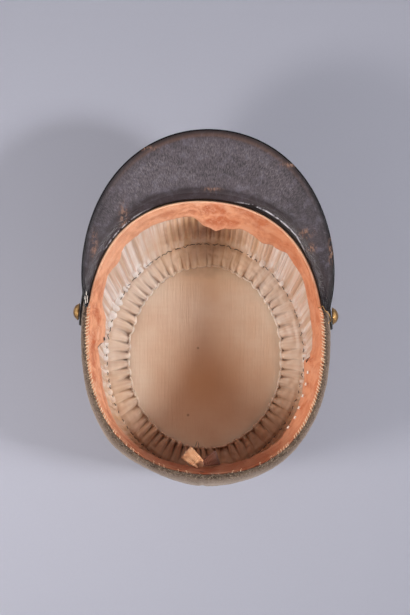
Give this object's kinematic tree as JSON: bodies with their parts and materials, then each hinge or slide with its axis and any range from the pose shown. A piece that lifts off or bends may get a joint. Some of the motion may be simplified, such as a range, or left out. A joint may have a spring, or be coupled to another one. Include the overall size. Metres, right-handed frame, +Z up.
{
  "type": "kepi cap",
  "caption": "Kepi lying upside down on its crown: leather peak, pleated and gathered silk lining, loose leather sweatband, wool shell, brass side buttons.",
  "frame": {"origin": "middle of the crown's flat outer face, on the surface that the cap lies on", "axes": "+Z up from the crown to the open rim, +Y towards the peak, +X to the right when looking into the cap with the peak away from the viewer"},
  "size_m": [0.19, 0.2569, 0.1124],
  "materials": {
    "wool": "felted olive grey wool cloth with a short nap",
    "tip_silk": "plain tan silk with a soft sheen",
    "lining_silk": "pleated cream silk with a soft sheen",
    "ruffle_silk": "gathered beige silk with a drawn edge",
    "band_leather": "worn tan orange leather, pale along folds and edges",
    "peak_leather": "dark brown black grained leather with a grey bloom and a painted black edge",
    "strap_leather": "black polished leather",
    "brass": "gilt brass, lightly tarnished",
    "ribbon": "ribbed peach grosgrain ribbon"
  },
  "bodies": {
    "root": {"crown_top": "wool", "side_wall": "wool", "tip_lining": "tip_silk", "side_lining": "lining_silk", "ruffle": "ruffle_silk", "sweatband": "band_leather", "peak": "peak_leather", "chin_strap": "strap_leather", "side_button_left": "brass", "side_button_right": "brass", "ribbon_bow": "ribbon"}
  },
  "joints": []
}
